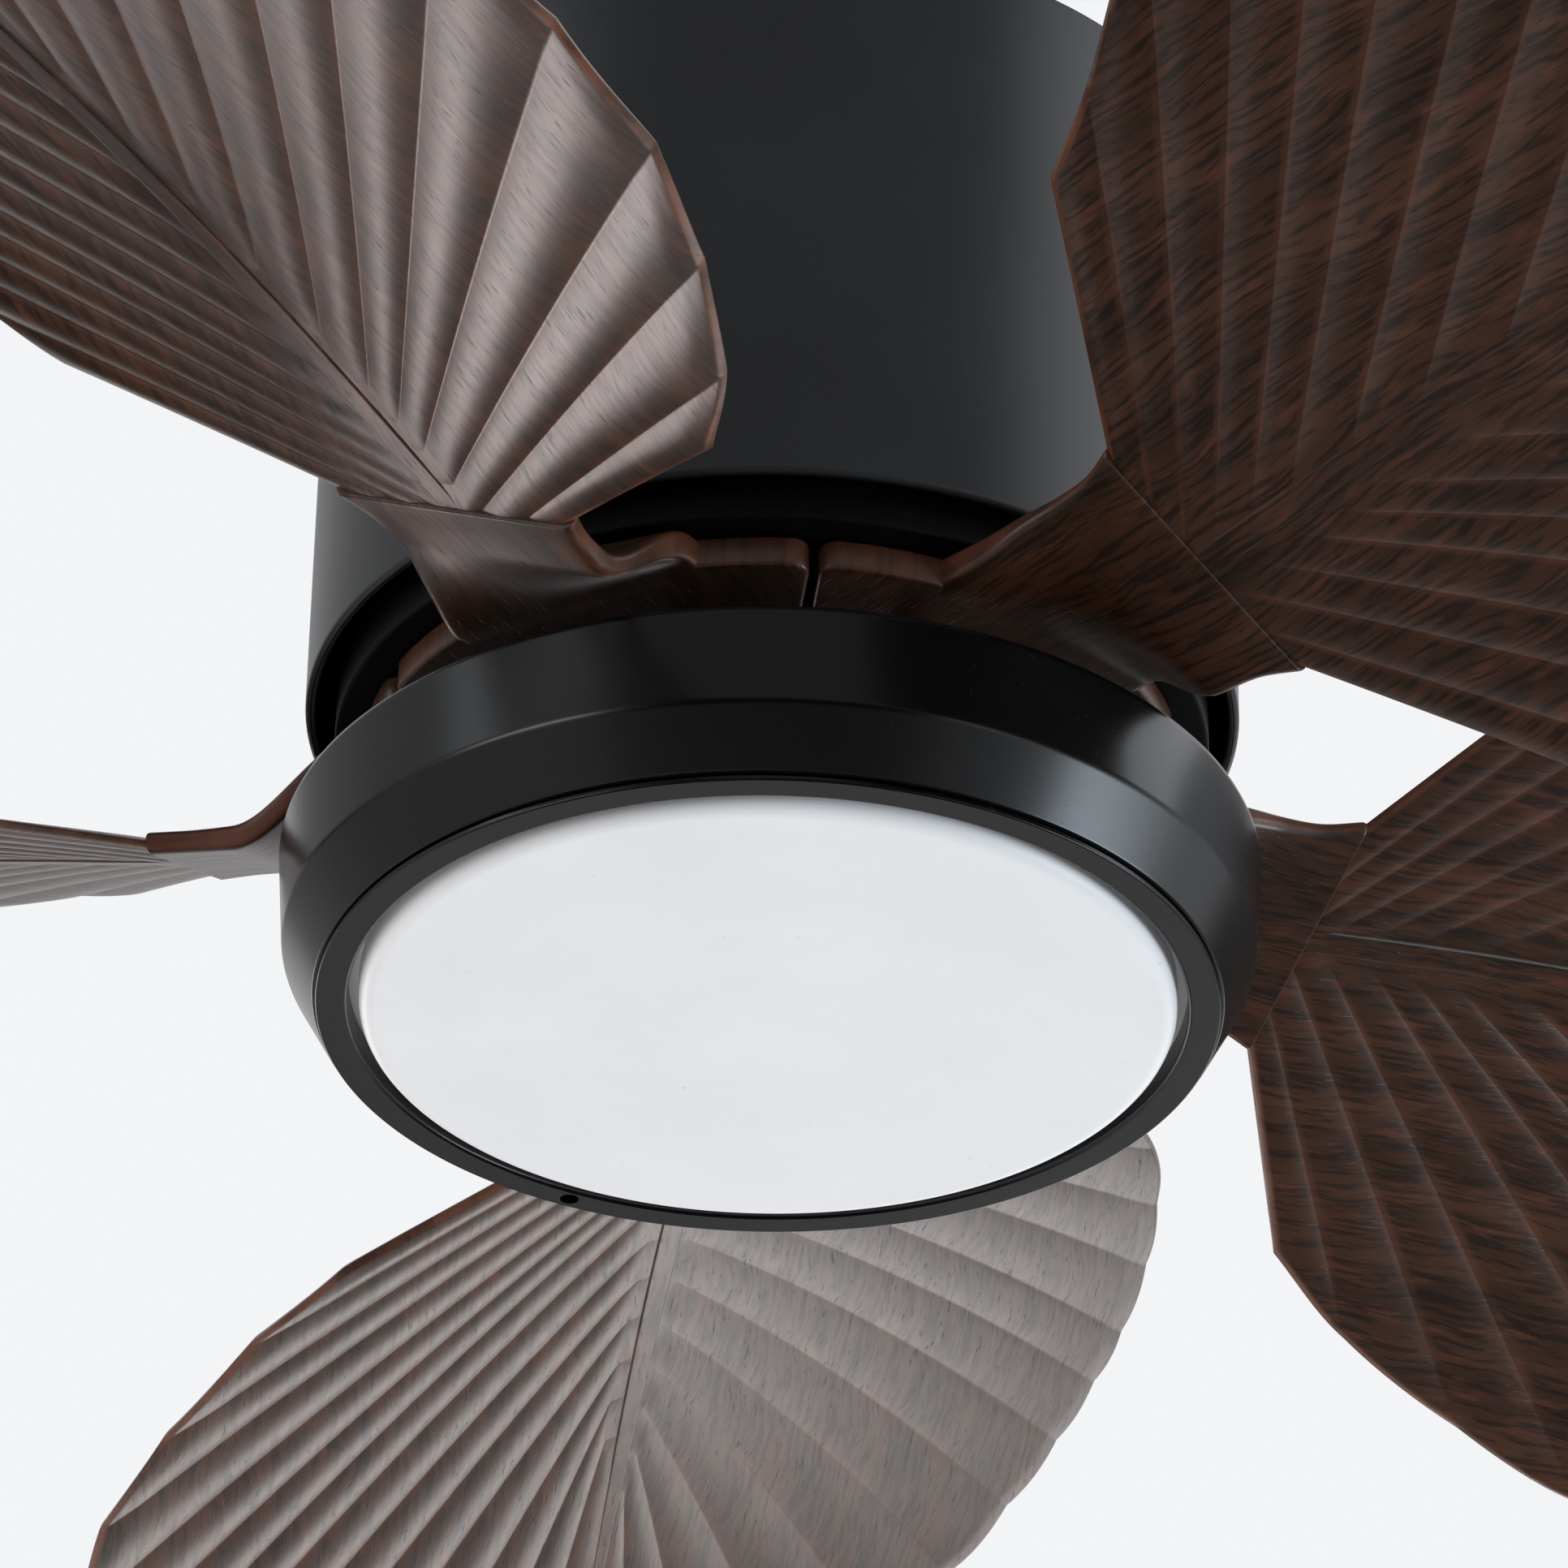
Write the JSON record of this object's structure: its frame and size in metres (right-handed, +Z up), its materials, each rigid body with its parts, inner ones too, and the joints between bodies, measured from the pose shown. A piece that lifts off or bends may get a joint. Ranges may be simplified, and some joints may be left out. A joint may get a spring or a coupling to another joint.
{
  "type": "ceiling fan",
  "caption": "Flush ceiling fan: black drum housing over a spinning rotor with ribbed palm-leaf blades in dark wood, and a round opal lamp in a black pan below.",
  "frame": {"origin": "centre of the ceiling plate's top face, on the rotor's axis", "axes": "+Z up along the rotor's axis, towards the ceiling; +Y runs away from the viewer of the picture, through the wire hole"},
  "size_m": [1.2538, 1.2399, 0.2704],
  "materials": {
    "housing_paint": "satin black, fine orange peel",
    "lamp_paint": "satin black",
    "bracket_paint": "matt black",
    "rotor_paint": "satin dark grey",
    "zinc_fasteners": "zinc plated",
    "shaft_steel": "turned steel",
    "bearing_steel": "ground",
    "laminations": "stacked sheet edges",
    "winding": "enamelled copper wire",
    "magnet": "sintered, dull",
    "blade_wood": "dark walnut stain, satin lacquer",
    "opal": "satin opal",
    "board": "white solder mask",
    "lead_sheath": "matt sheath",
    "case_plastic": "fine texture"
  },
  "bodies": {
    "mounted": {"ceiling_plate": "bracket_paint", "housing_shell": "housing_paint", "housing_screw_1": "zinc_fasteners", "housing_screw_2": "zinc_fasteners", "housing_screw_3": "zinc_fasteners", "motor_hanger": "bracket_paint", "hanger_screw_1": "zinc_fasteners", "hanger_screw_2": "zinc_fasteners", "hanger_screw_3": "zinc_fasteners", "motor_shaft": "shaft_steel", "shaft_nut_top": "zinc_fasteners", "stator_core": "laminations", "stator_coil_1": "winding", "stator_coil_2": "winding", "stator_coil_3": "winding", "stator_coil_4": "winding", "stator_coil_5": "winding", "stator_coil_6": "winding", "upper_bearing_inner_race": "bearing_steel", "lower_bearing_inner_race": "bearing_steel", "light_bracket": "bracket_paint", "shaft_nut_bottom": "zinc_fasteners", "light_pan": "lamp_paint", "light_pan_screw_1": "zinc_fasteners", "light_pan_screw_2": "zinc_fasteners", "light_pan_screw_3": "zinc_fasteners", "trim_ring": "lamp_paint", "trim_lock_screw": "zinc_fasteners", "diffuser": "opal", "led_board": "board", "led_post_1": "case_plastic", "led_post_2": "case_plastic", "led_post_3": "case_plastic", "led_driver": "case_plastic", "receiver_box": "case_plastic", "terminal_block": "case_plastic", "lamp_lead": "lead_sheath"},
    "rotor": {"rotor_cover_upper": "rotor_paint", "rotor_cover_lower": "rotor_paint", "magnet_ring": "magnet", "upper_bearing_outer_race": "bearing_steel", "lower_bearing_outer_race": "bearing_steel", "rotor_screw_1": "zinc_fasteners", "rotor_screw_2": "zinc_fasteners", "rotor_screw_3": "zinc_fasteners", "blade_1": "blade_wood", "blade_2": "blade_wood", "blade_3": "blade_wood", "blade_4": "blade_wood", "blade_5": "blade_wood", "blade_screw_1": "zinc_fasteners", "blade_screw_2": "zinc_fasteners", "blade_screw_3": "zinc_fasteners", "blade_screw_4": "zinc_fasteners", "blade_screw_5": "zinc_fasteners", "blade_screw_6": "zinc_fasteners", "blade_screw_7": "zinc_fasteners", "blade_screw_8": "zinc_fasteners", "blade_screw_9": "zinc_fasteners", "blade_screw_10": "zinc_fasteners"}
  },
  "joints": [
    {"name": "rotor_spin", "type": "hinge", "parent": "mounted", "child": "rotor", "pos_m": [0, 0, -0.145], "axis": [0, 0, 1], "continuous": true}
  ]
}
